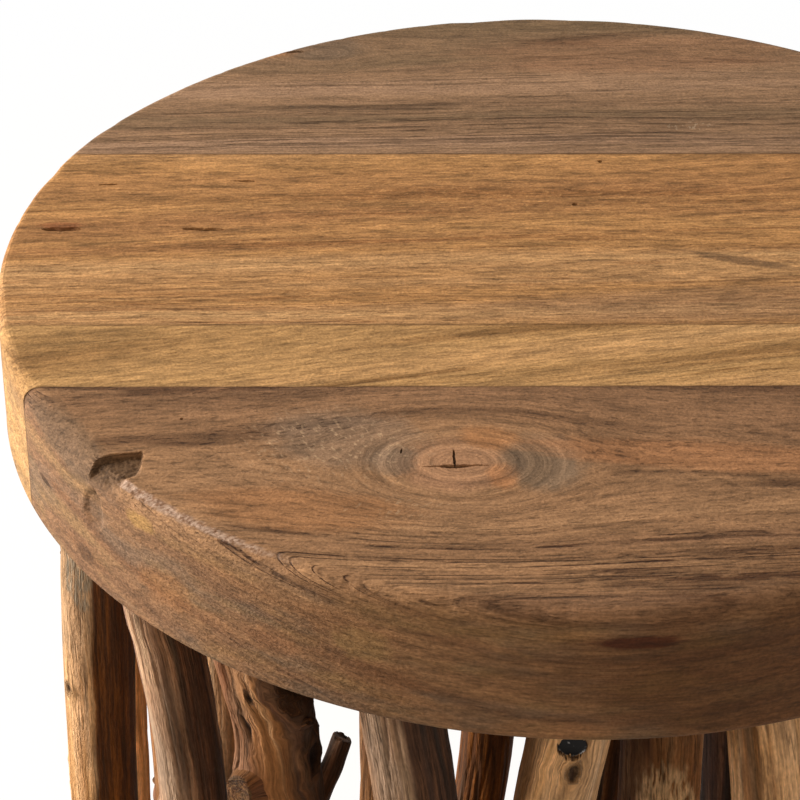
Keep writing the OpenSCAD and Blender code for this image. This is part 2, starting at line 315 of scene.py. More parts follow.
def pull_rim(bm, front, back):
    """Extrudes the board's edge on the rim through the profile. Its ends stay in the joints' planes."""
    edges = [e for e in bm.edges if e.is_boundary and all(v.co.xy.length > FLAT_R - 0.01 for v in e.verts)]
    radius = FLAT_R
    for next_radius, z in rim_profile():
        made = set(bmesh.ops.extrude_edge_only(bm, edges=edges)["geom"])
        edges = [g for g in made if isinstance(g, bmesh.types.BMEdge) and made.issuperset(g.verts)]
        low, high = [line_azimuth(radius, line) for line in (front, back)]
        next_low, next_high = [line_azimuth(next_radius, line) for line in (front, back)]
        for v in (g for g in made if isinstance(g, bmesh.types.BMVert)):
            a = azimuth(v)
            size = next_low + (abs(a) - low) * (next_high - next_low) / (high - low)
            v.co = next_radius * sin(size) * (1 if a >= 0 else -1), -next_radius * cos(size), z
        radius = next_radius


def close_board(bm, front, back):
    """Closes each joint with a face in its plane, and then the underside."""
    for line in (front, back):
        if abs(line) < RIM_R:
            loop = [e for e in bm.edges if e.is_boundary and all(abs(v.co.y - line) < 0.01 for v in e.verts)]
            feet = {v for e in loop for v in e.verts if v.co.z < UNDERSIDE + 0.01}
            loop.append(bm.edges.new(sorted(feet, key=azimuth)))
            face = bmesh.ops.contextual_create(bm, geom=loop)["faces"][0]
            for e in face.edges:
                e.smooth = False
    bmesh.ops.contextual_create(bm, geom=[e for e in bm.edges if e.is_boundary])
    bmesh.ops.recalc_face_normals(bm, faces=bm.faces)


CELLS = {"back_board": 1.3, "middle_board": 1.25, "narrow_board": 1.25, "front_board": 1.05}
board_meshes = {}
for name in BOARDS:
    board_meshes[name] = bm = bmesh.new()
    board_face(bm, *SPANS[name], CELLS[name])
    pull_rim(bm, *SPANS[name])
    close_board(bm, *SPANS[name])
    print(name, len(bm.faces), "faces, open edges:", sum(not e.is_manifold for e in bm.edges))

# %% [markdown]
# The boards are old timber, so they carry marks: a hollow in the edge at the left, another in the rim below it, a
# chipped edge, a cracked knot and some borer holes. Sculpting would do, but each mark is placed by number, so they are
# worked out as depths and the vertices are pushed in by them. The mesh is first cut finer where a mark is small. The
# depths are kept as attributes, for a darker colour in the hollows and fresh wood in the finish.

# %% Measure depths on a board
def sample(points, scale, seed):
    """Smooth noise between -1 and 1 at many points, with spots about as large as scale along each axis."""
    places = np.asarray(points) / scale + seed
    return np.array([noise.noise(Vector(p)) for p in places.tolist()])


def step(values, low, high):
    """A smooth step from 0 at low to 1 at high."""
    t = np.clip((values - low) / (high - low), 0, 1)
    return t * t * (3 - 2 * t)


def inside_by(points, outline):
    """How far inside a closed outline each flat point lies, or outside it where negative."""
    nearest, inside = np.full(len(points), 1e9), np.zeros(len(points), bool)
    for (ax, ay), (bx, by) in zip(outline, outline[1:] + outline[:1]):
        run = np.array([bx - ax, by - ay])
        along = np.clip(((points - (ax, ay)) @ run) / (run @ run), 0, 1)
        nearest = np.minimum(nearest, np.linalg.norm(points - (ax, ay) - along[:, None] * run, axis=1))
        crosses = (points[:, 1] < ay) != (points[:, 1] < by)
        inside ^= crosses & (points[:, 0] < ax + (points[:, 1] - ay) * run[0] / (run[1] or 1e-9))
    return np.where(inside, nearest, -nearest)


def slit(points, start, end, half_width):
    """1 in the middle of a crack from start to end that narrows to both ends, and 0 outside it."""
    run = np.subtract(end, start)
    along = ((points - start) @ run) / (run @ run)
    aside = abs((points - start) @ np.array([-run[1], run[0]])) / np.linalg.norm(run)
    wide = half_width * np.sqrt(np.clip(4 * along * (1 - along), 0, 1))
    return np.clip(1 - aside / np.maximum(wide, 1e-6), 0, 1) * (wide > 0)


# %% The marks of the boards
EDGE_HOLLOW = [(-161, -129), (-159.6, -122.1), (-156.8, -118.8), (-152.1, -117.1), (-146.5, -116), (-142, -115.4),
               (-141.5, -118.2), (-141.8, -128.2), (-145.4, -130.4), (-148.3, -133.6), (-151.6, -132), (-154.9, -131.5)]
RIM_HOLLOW = [(-53.6, 436), (-54.1, 428), (-53, 424), (-51.2, 426), (-50.6, 431), (-50.9, 438.5), (-52, 441.5)]
CRACKS = {"front_board": [((-52.5, -124.2), (-31.5, -123.6), 0.45), ((-47, -124.6), (-37, -124), 0.75),
                          ((-42.2, -124.8), (-42.7, -114.6), 0.45), ((-59.6, -117), (-59.2, -114), 0.3)],
          "middle_board": [((-188, 25.2), (-173.5, 25.7), 1.4), ((-137, 25.6), (-122, 25.0), 1.0),
                           ((-170, 58), (-163, 58.4), 0.5), ((-120, 61), (-112, 60.7), 0.5)],
          "back_board": [((-96, 167), (-108, 166.5), 0.9)], "narrow_board": []}
BORER_HOLES = {"middle_board": [(5.4, 43.2, 0.95), (16.7, 75.7, 0.8)],
               "front_board": [(-130.5, -97, 0.5), (92, -150, 0.6)]}
HOLE_DEPTH = 1.9     # of cracks and borer holes
FINE_EDGE = 0.5      # an edge that is no longer than this isn't cut again
RIM_REFINED = 415    # nothing below this height is cut finer


def refine(bm, middle, reach, cuts):
    """Cuts the top's faces near a place finer, once only where two such places overlap."""
    middle = Vector((*middle, TOP))
    near = [e for e in bm.edges if e.calc_length() > FINE_EDGE
            and all((v.co - middle).length < reach and v.co.z > RIM_REFINED for v in e.verts)]
    bmesh.ops.subdivide_edges(bm, edges=near, cuts=cuts, use_grid_fill=True)


def bump_at(values, middle, reach):
    """A soft bump of 1 at middle that fades over reach."""
    return np.exp(-((values - middle) / reach) ** 2)


def wear_arris(places, heart, radius, bearing):
    """How far the worn arris lies inside the square edge of the disc, less than the new arris does, and which
    way each point faces. It is rounder by the hollow and right of the front, and less so at the far left."""
    round_r = ARRIS_R - 2.4 * (1 - step(bearing, -80, -66)) * step(bearing, -135, -115)
    round_r += 6 * bump_at(bearing, -59, 6) + 2.5 * step(bearing, 6, 12) * (1 - step(bearing, 50, 70))
    round_r += 2.6 * np.clip(sample(heart, (26, 26, 99), 3.0) - 0.1, 0, 1)
    round_r += 1.5 * np.clip(sample(heart, 6.0, 4.0) - 0.25, 0, 1)
    start = np.stack([np.minimum(radius, FLAT_R), heart[:, 2]], 1)
    way = np.stack([radius, places[:, 2]], 1) - start
    lean = np.arctan2(way[:, 1], way[:, 0])
    way = np.stack([np.cos(lean), np.sin(lean)], 1)
    faces_at = (((RIM_R, TOP) - start) / np.maximum(way, 1e-6)).min(1)
    from_middle = start - (np.array([RIM_R, TOP]) - round_r[:, None])
    in_corner = (from_middle + faces_at[:, None] * way > 0).all(1)
    inwards = (from_middle * way).sum(1)
    arc_at = np.sqrt(np.maximum(inwards ** 2 - (from_middle ** 2).sum(1) + round_r ** 2, 0)) - inwards
    return ARRIS_R - np.where(in_corner, arc_at, faces_at), np.degrees(lean)


def mark_front(places, radius, bearing, lean, rough, on_top):
    """The front board's own marks: their depth in mm, and how hollow and how broken each point is."""
    flat = places[:, :2]
    inside = inside_by(flat + 0.5 * rough[:, None], EDGE_HOLLOW)
    slope = 0.8 + 3.2 * step(-flat[:, 1], 121, 129)
    scoop = step(inside / slope, -0.15, 1) * step(places[:, 2], 442.5, 446)
    unrolled = np.stack([RIM_R * np.radians(bearing), places[:, 2]], 1) + 0.6 * rough[:, None]
    inside = inside_by(unrolled, [(RIM_R * radians(a), z) for a, z in RIM_HOLLOW])
    rim_scoop = step(inside, -0.6, 2.5) * (radius > FLAT_R)
    grit = 0.85 + 0.1 * sample(places, 1.3, 6.0) + 0.2 * sample(places, 4.0, 16.0)
    depth = np.maximum(2.8 * scoop, 1.3 * rim_scoop) * grit
    # the broken arris is a narrow flat: a chord across the round edge, which fades out to the right
    lean = lean + 7 * rough
    low = 40 + 18 * step(bearing, -50, -27)
    broken = step(bearing, -52.5, -51.5) * (1 - step(bearing, -34, -26)) * (1 - scoop)
    broken *= step(lean, low - 4, low + 4) * (1 - step(lean, 76, 84)) * (radius > FLAT_R)
    half = np.radians((80 - low) / 2)
    chord = ARRIS_R * (1 - np.cos(half) / np.cos(np.radians(lean - (80 + low) / 2)))
    depth += broken * (np.clip(chord, 0, 1) + 0.2 * sample(places, 0.9, 12.0))
    depth += 0.4 * bump_at(flat[:, 0], -187, 7) * bump_at(flat[:, 1], -79, 6) * step(places[:, 2], 440, 446)
    knot = np.hypot((flat[:, 0] + 40) / 30, (flat[:, 1] + 122) / 22)
    depth += (0.25 * bump_at(knot, 0.95, 0.12) - 0.1 * (1 - step(knot, 0.5, 0.9))) * on_top
    return depth, np.maximum(0.8 * np.sqrt(scoop), 0.4 * rim_scoop), broken


def mark_board(name, bm):
    """Pushes a board's marks in, and keeps how hollow and how broken each point is."""
    for start, end, half_width in CRACKS[name]:
        middle = [(a + b) / 2 for a, b in zip(start, end)]
        refine(bm, middle, hypot(end[0] - start[0], end[1] - start[1]) / 2 + 2, 4)
    for x, y, size in BORER_HOLES.get(name, []):
        refine(bm, (x, y), 2.5, 3)
    if name == "front_board":
        refine(bm, (-151, -124), 15, 1)
    places = np.array([v.co[:] for v in bm.verts])
    radius = np.hypot(places[:, 0], places[:, 1])
    heart = places * np.stack([np.minimum(1, FLAT_R / radius)] * 2 + [np.ones(len(radius))], 1)
    heart[:, 2] = np.minimum(places[:, 2], TOP - ARRIS_R)
    outwards = places - heart
    outwards /= np.maximum(np.linalg.norm(outwards, axis=1), 1e-6)[:, None]
    skin = (np.linalg.norm(places - heart, axis=1) > 1) & (places[:, 2] > UNDERSIDE + 3)
    flat, bearing = places[:, :2], np.degrees(np.arctan2(places[:, 0], -places[:, 1]))
    on_top = step(places[:, 2], TOP - 3, TOP - 1)
    rough = sample(places, 3.1, 5.0)

    depth = 0.05 * (1 + sample(places, (90, 34, 34), 1.0)) + 0.05 * (1 + sample(places, (30, 9, 9), 2.0))
    worn, lean = wear_arris(places, heart, radius, bearing)
    depth += worn
    hollow, broken = np.zeros(len(places)), np.zeros(len(places))
    for start, end, half_width in CRACKS[name]:
        wavy = flat + np.stack([0.5 * rough, 0.55 * sample(places, 2.6, 9.0)], 1)
        hollow = np.maximum(hollow, np.sqrt(slit(wavy, start, end, half_width)) * on_top)
    for x, y, size in BORER_HOLES.get(name, []):
        away = np.hypot(flat[:, 0] - x, flat[:, 1] - y) / size
        hollow = np.maximum(hollow, (1 - step(away, 0.75, 1.1)) * on_top)
    depth += HOLE_DEPTH * hollow
    if name == "front_board":
        own_depth, own_hollow, broken = mark_front(places, radius, bearing, lean, rough, on_top)
        depth += own_depth
        hollow = np.maximum(hollow, own_hollow)
    places = places - outwards * (depth * skin)[:, None]
    layers = [bm.verts.layers.float.new("hollow"), bm.verts.layers.float.new("broken")]
    for v, place, fields in zip(bm.verts, places.tolist(), zip(hollow.tolist(), broken.tolist())):
        v.co = place
        for layer, value in zip(layers, fields):
            v[layer] = value


for name, bm in board_meshes.items():
    mark_board(name, bm)
    triangles, open_edges = sum(len(f.verts) - 2 for f in bm.faces), sum(not e.is_manifold for e in bm.edges)
    print(name, triangles, "triangles, open edges:", open_edges)

# %% [markdown]
# Old teak is brown with dark pore lines, and the pores stay open after sanding. A plank shows the tree's
# rings cut lengthwise, so the pattern is worked out in the solid wood: each point's distance from the
# pith gives its ring, and noise stretched along the grain on that ring field gives bands, dark lines,
# fibres and pores. So the lines run on over the rim as they do in real wood. Round a knot the grain
# parts like a stream round a post, and the same formula bends it here.

# %% The finish of a teak board
RIM_CLOUDS = (("967b53", 0.5, 47.0), ("6c6257", 0.5, 53.0), ("946644", 0.3, 59.0))
STAIN_DEPTH = 30     # half the height of a stain that is given on the upper face only
PATCH_RAGGED = 0.7   # how far its edge wanders, as a share of its half size


def pattern(field, size, detail=2.0, shift=0.0):
    """Noise on a field in mm, with spots about as large as size along its three axes."""
    spots = add("Mapping", {"Vector": field, "Location": (shift,) * 3, "Scale": [1 / mm for mm in size]})
    return add("TexNoise", {"Vector": spots, "Scale": 1.0, "Detail": detail})


def part_grain(x, y, knot):
    """Bends the grain's height y round a knot. Returns it and the distance from the knot in its own radii."""
    knot_x, knot_y, radius, stretch = knot
    dx = calc("DIVIDE", calc("SUBTRACT", x, knot_x), radius * stretch)
    dy = calc("SUBTRACT", y, knot_y)
    rings = norm(add("CombineXYZ", [dx, calc("DIVIDE", dy, radius), 0.0]))
    pull = calc("POWER", calc("DIVIDE", 1.0, calc("MAXIMUM", rings, 1.0)), 2.0)
    return calc("SUBTRACT", y, calc("MULTIPLY", dy, pull)), rings


def lay_patch(mm, colour, place, size, turn, shade, strength):
    """Lays a ragged patch of another shade over a colour. Two numbers place it on the upper face."""
    if len(place) == 2:
        place, size = (*place, TOP), (*size, STAIN_DEPTH)
    local = add("Mapping", {"Vector": mm, "Location": place, "Rotation": (0, 0, radians(turn)), "Scale": size},
                vector_type="TEXTURE")
    rough = add("TexNoise", {"Vector": local, "Scale": 2.3, "Detail": 5.0}, out="Color")
    rough = add("VectorMath", {0: rough, 1: (0.5,) * 3}, operation="SUBTRACT")
    rough = add("VectorMath", {0: rough, "Scale": PATCH_RAGGED}, operation="SCALE")
    inside = add("TexGradient", [add("VectorMath", [local, rough], operation="ADD")], out="Fac",
                 gradient_type="SPHERICAL")
    inside = remap(inside, 0, 0.45, 0, strength, interpolation_type="SMOOTHSTEP")
    return blend(inside, colour, shade)


def teak_board(name, slope, pith, wander, bands, band_w, line, line_w, vein, pore, rows, fibre, knots=(), stains_and_shade=(),
               scuffs=(), joints=(), mottle=0.6, seed=0.0):
    """Makes a board's material from how its tree grew: slope of the grain, place of the pith, how far the rings wander,
    shades and widths of bands and lines, strength of veins, pores and fibres, zones with rows of open pores, and the
    board's own knots, stained patches with painted shade on the front board's right rim, scuffs, glue joints and
    cloudiness on the rim."""
    material, tree = new_material(name)
    mm = place_in_mm(tree)
    x, y, z = split(mm)
    rim = remap(z, TOP - 2, TOP - 9)
    across, core, sound = y, 0.0, 1.0
    for knot in knots:
        y, rings = part_grain(x, y, knot)
        core = calc("ADD", remap(rings, 1.0, 0.0, 0.0, knot[2] * 0.8), core)
        sound = calc("MULTIPLY", remap(rings, 0.75, 1.5, 0.25), sound)
    bent = add("Mapping", {"Vector": add("CombineXYZ", [x, y, z]), "Rotation": (0, 0, radians(-slope))})
    x, y, z = split(bent)
    for size, reach in (((420, 120, 110), wander), ((90, 30, 26), wander * 0.16), ((16, 10, 10), wander * 0.035)):
        y = calc("ADD", y, remap(pattern(bent, size, 1.0, seed), 0, 1, -reach, reach))
    off = add("VectorMath", {0: add("CombineXYZ", [0.0, y, z]), 1: (0, *pith)}, operation="SUBTRACT")
    ring = calc("ADD", norm(off), core)
    field = add("CombineXYZ", [x, ring, calc("ADD", y, z)])

    colour = ramp(pattern(field, (700, band_w, 200), 4.0, seed), *bands)
    where = ramp(pattern(bent, (190, 30, 60), 1.0, seed + 9), (0.42, 0.2), (0.56, 1.0))
    lines = ramp(pattern(field, (520, line_w, 90), 3.0, seed + 5), (0.54, 0.0), (0.64, 1.0))
    veins = pattern(field, (420, line_w * 2.6, 90), 2.0, seed + 25)
    veins = ramp(veins, (0.475, 0.0), (0.5, 1.0), (0.525, 0.0))
    gaps = ramp(pattern(field, (60, 9, 9), 3.0, seed + 29), (0.47, 0.0), (0.6, 1.0))
    veins = calc("MULTIPLY", veins, gaps, vein)
    streaks = calc("MAXIMUM", calc("MULTIPLY", lines, where, line[1]), veins)
    for middle, reach, strength in rows:
        zone = remap(apart(y, middle), reach, reach * 0.4, 0.0, strength)
        row = pattern(field, (340, 1.7, 70), 1.5, seed + 37)
        row = ramp(row, (0.463, 0.0), (0.491, 1.0), (0.509, 1.0), (0.537, 0.0))
        open_part = ramp(pattern(field, (14, 1.3, 4), 3.0, seed + 41), (0.4, 0.1), (0.52, 1.0))
        streaks = calc("MAXIMUM", calc("MULTIPLY", row, open_part, zone), streaks)
    sound = calc("MULTIPLY", sound, remap(rim, 0, 1, 1.0, 0.5))
    streaks = calc("MULTIPLY", streaks, sound)
    colour = blend(streaks, colour, line[0])
    for shade, reach, shift in RIM_CLOUDS:
        cloud = remap(pattern(mm, (34, 34, 9), 5.0, seed + shift), 0.5, 0.64, 0.0, reach * mottle)
        colour = blend(calc("MULTIPLY", cloud, rim), colour, shade)
    # stained patches; on the front board the dark patch on the right of the rim is partly stain and partly painted
    # shade
    for patch in stains_and_shade:
        colour = lay_patch(mm, colour, *patch)
    # Real pores are a fifth of a millimetre wide; they are drawn three times as coarse, or none would show.
    pores = ramp(pattern(field, (4.2, 0.65, 0.95), 2.0, seed + 13), (0.56, 0.0), (0.66, 1.0))
    near = calc("ADD", calc("MULTIPLY", streaks, 0.7), 0.5)
    pores = calc("MULTIPLY", pores, near, pore[1], sound)
    colour = blend(pores, colour, pore[0])
    for middle, size, turn, shade, strength in scuffs:
        local = add("Mapping", {"Vector": mm, "Location": (*middle, TOP), "Scale": (*size, 20)},
                    vector_type="TEXTURE")
        inside = add("TexGradient", [local], out="Fac", gradient_type="SPHERICAL")
        turned = add("Mapping", {"Vector": mm, "Rotation": (0, 0, radians(turn))})
        nicks = ramp(pattern(turned, (1.6, 3.6, 3.0), 5.0, 41.0), (0.57, 0.0), (0.63, 1.0))
        colour = blend(calc("MULTIPLY", inside, strength, nicks), colour, shade)
    fibres = pattern(field, (7, 0.8, 1.2), 4.0, seed + 17)
    flecks = pattern(field, (26, 2.2, 3.0), 3.0, seed + 21)
    specks = pattern(mm, (1.2, 0.9, 0.9), 3.0, seed + 35)
    colour = tone(colour, calc("ADD", fibres, flecks), 0.7, 1.3, 1 - fibre, 1 + fibre)
    colour = tone(colour, specks, 0.3, 0.7, 0.8, 1.2)
    for line_y in joints:
        gap = remap(apart(across, line_y), 0.9, 0.25, 0.0, 0.75)
        colour = blend(calc("MULTIPLY", gap, remap(flecks, 0.35, 0.6)), colour, "3d2514")
    hollow, broken = attributes(tree, "hollow", "broken")
    hollow_tone = ramp(pattern(mm, (1.3, 1.3, 1.3), 4.0, 31.0), (0.35, "2a1c11"), (0.7, "6e5640"))
    # the hollows, cracks and holes are coloured darker, and the deepest part of the cracks and holes near black
    colour = blend(hollow, colour, hollow_tone)
    colour = blend(remap(hollow, 0.85, 1.0), colour, "1d1210")
    fresh = ramp(pattern(mm, (1.6, 1.2, 1.2), 4.0, 33.0), (0.38, "7d5f4b"), (0.6, "b39a8a"))
    colour = blend(broken, colour, fresh)
    cut = calc("ADD", calc("MULTIPLY", pores, 0.6), calc("MULTIPLY", streaks, 0.6))
    height = calc("SUBTRACT", calc("ADD", fibres, specks), cut)
    finish_material(colour, 0.78, height, bump_mm=0.3, gloss=0.15)
    return material


# teak, sanded and left bare: greyish brown, golden, pale, and brown round a knot
BOARD_LOOKS = {
    "back_board": dict(
        name="teak_sanded_grey_brown", slope=0.5, pith=(176, 396), wander=16, band_w=15, line_w=2.3,
        bands=[(0.32, "7a644c"), (0.45, "907258"), (0.55, "98795e"), (0.68, "a4846a")], line=("3b2818", 0.6),
        vein=0.7, pore=("3c2a1a", 0.65), rows=[(106, 26, 0.8)], fibre=0.31, knots=[(-90, 166, 8, 2.2)],
        joints=[81.5], scuffs=[((52, 104), (14, 6), 10, "b8a48c", 0.8)],
        stains_and_shade=[((-120, 171), (34, 12), 0, "a5744d", 0.7), ((-88, 169), (20, 12), 0, "746150", 0.7),
                ((40, 165), (90, 20), 3, "9b7053", 0.35)]),
    "middle_board": dict(
        name="teak_sanded_golden", slope=2.6, pith=(90, 240), wander=12, band_w=10, line_w=2.2,
        bands=[(0.32, "9b704a"), (0.44, "b18556"), (0.54, "b78d61"), (0.68, "c49c6e")], line=("7c512f", 0.55),
        vein=0.6, pore=("5e3c20", 0.7), rows=[(-20, 18, 0.5)], fibre=0.48, seed=3.0, joints=[81.5, -39.5],
        scuffs=[((-20, 40), (190, 60), 75, "c99a66", 0.5)],
        stains_and_shade=[((62, 3), (26, 3.4), -18, "5f4935", 0.7), ((-181, 28), (10, 3), 0, "8c5738", 0.7),
                ((90, -24), (150, 16), 3, "8f6f53", 0.6)]),
    "narrow_board": dict(
        name="teak_sanded_pale", slope=10.0, pith=(-30, 380), wander=6, band_w=14, line_w=3.5,
        bands=[(0.32, "a88154"), (0.45, "b89161"), (0.56, "c29868"), (0.68, "c9a476")], line=("6a4724", 0.6),
        vein=0.8, pore=("6a4a28", 0.65), rows=[], fibre=0.4, seed=7.0, joints=[-39.5, -78],
        stains_and_shade=[((-170, -50), (34, 9), 8, "917048", 0.6)]),
    "front_board": dict(
        name="teak_sanded_knotty", slope=0.0, pith=(-98, 290), wander=9, band_w=7, line_w=1.7,
        bands=[(0.3, "71533d"), (0.43, "87664c"), (0.56, "947153"), (0.7, "a47f5e")], line=("3a2214", 0.5),
        vein=0.7, pore=("301d10", 0.8), rows=[(-164, 21, 1.0), (-83, 7, 0.7)], fibre=0.38, mottle=0.75, seed=11.0,
        knots=[(-40, -122, 22.5, 1.5)], joints=[-78],
        scuffs=[((-80, -112), (40, 28), -30, "bb9e80", 0.8), ((-62, -146), (26, 8), 40, "bb9e80", 0.6)],
        stains_and_shade=[((-43, -124), (22, 17), 0, "ab8264", 0.7), ((-31, -108), (13, 8), -20, "b27e53", 0.65),
                ((-27, -129), (7, 9), 0, "ad7850", 0.6), ((-14, -122), (17, 19), 10, "6d5f50", 0.7),
                ((-62, -121), (10, 10), 10, "776555", 0.6), ((45, -119), (85, 10), -6, "a97853", 0.65),
                ((-78, -108), (32, 20), -10, "8b7664", 0.5), ((-92, -147), (44, 14), -8, "9a6c47", 0.6),
                ((11, -200, 438.5), (17, 12, 3.2), 0, "47190f", 0.85),
                ((-134, -148, 420), (15, 15, 9), 0, "986b47", 0.55),
                ((-100, -173, 419), (13, 13, 6), 0, "92684a", 0.45),
                # painted shade on the right front of the rim, over a darker stain
                ((62, -188, 424), (105, 40, 36), 0, "3f230f", 0.7),
                ((-168, -106, 447), (34, 12, 9), -59, "6b5643", 0.75),
                ((-141, -141, 441), (8, 8, 4), 0, "b58f59", 0.7),
                ((-72, -187, 428), (12, 12, 8), 0, "997d53", 0.45),
                ((-162, -117, 410), (7, 7, 4), 0, "4e3726", 0.7),
                ((-177, -93, 423), (6, 6, 1.6), 0, "3a2617", 0.8)])}
board_finishes = {node: teak_board(**look) for node, look in BOARD_LOOKS.items()}
print("board finishes:", [m.name for m in board_finishes.values()])

# %% Put the boards in their places
SLOTS = {part["node"]: part["material_slot"] for part in frame["record"]["subparts"]}


def place_piece(title, mesh, node, material):
    """Makes the object for a mesh that stands for a CAD node, with its finish, riding on the table."""
    mesh.materials.append(material)
    piece = bpy.data.objects.new(title, mesh)
    scene.collection.objects.link(piece)
    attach(piece, "root")
    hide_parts(node)


for name, bm in board_meshes.items():
    bmesh.ops.scale(bm, vec=(MM,) * 3, verts=bm.verts)
    mesh = bpy.data.meshes.new(name + "_wood")
    bm.to_mesh(mesh)
    bm.free()
    place_piece(name + "_wood", mesh, name, board_finishes[name])
print(len(board_meshes), "boards placed")

# %% [markdown]
# A branch grew crooked, was peeled and dried, and opened in long furrows. The CAD solid has its run, its
# thickness and its housings, in flat facets. It could be remeshed, but then nothing would say where the
# grain runs. Here a straight round blank is cut into rings, and each point remembers its place in the
# blank as its grain. Then the blank is bent over the CAD branch: rays from outside measure the bark, the
# measures are smoothed, and furrows are cut along the grain.

# %% Measure the hoops and the housings
HOOPS = [[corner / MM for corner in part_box(name)] for name in ("lower_hoop", "upper_hoop")]
HOOP_R = HOOPS[0][1].x
HOOP_INNER_R = min(v.co.xy.length for v in frame["nodes"]["lower_hoop"].data.vertices) / MM
HOUSING_GAP = 0.2
LEG_TOP = HOOPS[1][1].z
print("hoops from", round(HOOP_INNER_R, 1), "to", round(HOOP_R, 1), "out, legs up to", round(LEG_TOP, 1))


def at_hoop(z):
    """Which heights lie within the housings of the two hoops."""
    return sum((z > low.z - HOUSING_GAP) & (z < high.z + HOUSING_GAP) for low, high in HOOPS) > 0


# %% Measure a CAD branch with rays
PROBES = 36                              # rays round a ring
RUN_HEIGHTS = np.linspace(1, LEG_TOP - 1, 60)
PROBE_TURNS = np.arange(PROBES) * 2 * pi / PROBES
START_OUT = 60.0                         # from the middle of a ring
FAR_OUT = 1.22                           # a hit this much further out than the usual one is a side shoot
DEEP = 0.8                               # a hit this much nearer is a screw's hole


def bark_hits(tree, centre):
    """Distance from the middle of a ring to the bark in each direction, measured inwards from START_OUT."""
    ways = [Vector((cos(turn), sin(turn), 0)) for turn in PROBE_TURNS]
    hits = [tree.ray_cast((centre + way * START_OUT) * MM, -way)[0] for way in ways]
    return np.array([(hit / MM - centre).length if hit else 0.0 for hit in hits])


def measure_branch(node):
    """Middle of each ring, distance to the bark all round it, and which of these distances are true bark:
    not a side shoot, a screw's hole or a housing."""
    mesh = frame["nodes"][node].data
    tree = BVHTree.FromPolygons([v.co for v in mesh.vertices], [p.vertices for p in mesh.polygons])
    head = [v.co / MM for v in mesh.vertices if v.co.z / MM > LEG_TOP - 0.1]
    centre = sum(head, Vector()) / len(head)
    run, bark = [], []
    for z in RUN_HEIGHTS[::-1]:
        centre = Vector((centre.x, centre.y, z))
        for _ in range(3):  # the ring's middle is where its hits balance
            r = bark_hits(tree, centre)
            r = np.clip(r, DEEP * np.median(r), FAR_OUT * np.median(r))
            shift = [2 * float(np.mean(r * part(PROBE_TURNS))) for part in (np.cos, np.sin)]
            centre += Vector((*shift, 0))
        run.append(centre.copy())
        bark.append(bark_hits(tree, centre))
    run, bark = np.array(run)[::-1], np.array(bark)[::-1]
    usual = np.median(bark)
    x = run[:, :1] + bark * np.cos(PROBE_TURNS)
    y = run[:, 1:2] + bark * np.sin(PROBE_TURNS)
    out = np.hypot(x, y)
    housed = (abs(out - HOOP_R) < 0.8) | (abs(out - HOOP_INNER_R) < 0.8)
    true_bark = (bark < FAR_OUT * usual) & (bark > DEEP * usual) & ~(housed & at_hoop(RUN_HEIGHTS)[:, None])
    return run, bark, true_bark.astype(float)


# %% Make a blank and bend it over the measured branch
SIDES, RINGS = 112, 200
BLANK_R = 13.5
RUN_BLUR, TURN_BLUR = 8.0, radians(13)   # widths that smooth the facets away
SAWN_EDGE = 0.8
SAWN_SHARE = 0.97                        # nearer to a blank's middle than this lies its sawn end
DARK_SIDE_RAGGED, DARK_SIDE_FADE = 22, 9         # degrees that the edge of a dark side, of dark wood and painted shade, wanders and fades
HOLE_R = 4.5                             # of the ragged hole over a screw's head
HOLE_REACH = 4.0                         # bark further behind the head's face than this stays shut
UNDER_HEAD = 0.4                         # the hole's floor lies this far behind the head's face


def round_blank(sides, rings, radius, length):
    """Makes a closed, straight, round rod cut into rings, with its sawn edges eased."""
    bm = bmesh.new()
    bmesh.ops.create_cone(bm, cap_ends=True, segments=sides, radius1=radius, radius2=radius, depth=length)
    bmesh.ops.translate(bm, verts=bm.verts, vec=(0, 0, length / 2))
    ends = [e for e in bm.edges if abs(e.verts[0].co.z - e.verts[1].co.z) < 1]
    bmesh.ops.bevel(bm, geom=ends, offset=SAWN_EDGE, affect="EDGES", segments=2, profile=0.5, material=-1)
    long = [e for e in bm.edges if abs(e.verts[0].co.z - e.verts[1].co.z) > length / 2]
    bmesh.ops.subdivide_edges(bm, edges=long, cuts=rings, use_grid_fill=True)
    return bm


def blur_to(values, weights, z, turn):
    """Reads a field measured on the rings at other heights and turns, through a soft round brush."""
    along = np.exp(-0.5 * ((z[:, None] - RUN_HEIGHTS) / RUN_BLUR) ** 2)
    off = (turn[:, None] - PROBE_TURNS + pi) % (2 * pi) - pi
    around = np.exp(-0.5 * (off / TURN_BLUR) ** 2)
    return ((along @ (values * weights)) * around).sum(1) / ((along @ weights) * around).sum(1)


# %% Cut knots and furrows along the grain
def add_knot(turn, z, knot_turn, knot_z, size):
    """Returns how far the grain is pushed aside round a knot, the knot's own mask and end grain, and how it
    swells the bark."""
    across = ((turn - knot_turn + pi) % (2 * pi) - pi) * BLANK_R
    local = np.stack([across, z - knot_z, 0 * z + 7 * knot_z], 1)
    wobble = sample(local, 5.5, knot_z) + 0.5 * sample(local, 2.0, knot_z)
    ring = np.hypot(across, (z - knot_z) / 1.5) / size * (1 + 0.35 * wobble)
    push = -across / np.maximum(ring, 1.0) ** 2
    mask = 1 - step(ring, 0.2, 1.05)
    swell = 0.25 * size * np.exp(-((ring - 1.2) / 0.5) ** 2) - 0.4 * size * np.exp(-((ring / 0.55) ** 2))
    return push / BLANK_R, mask, local * (1, 0.6, 1), swell


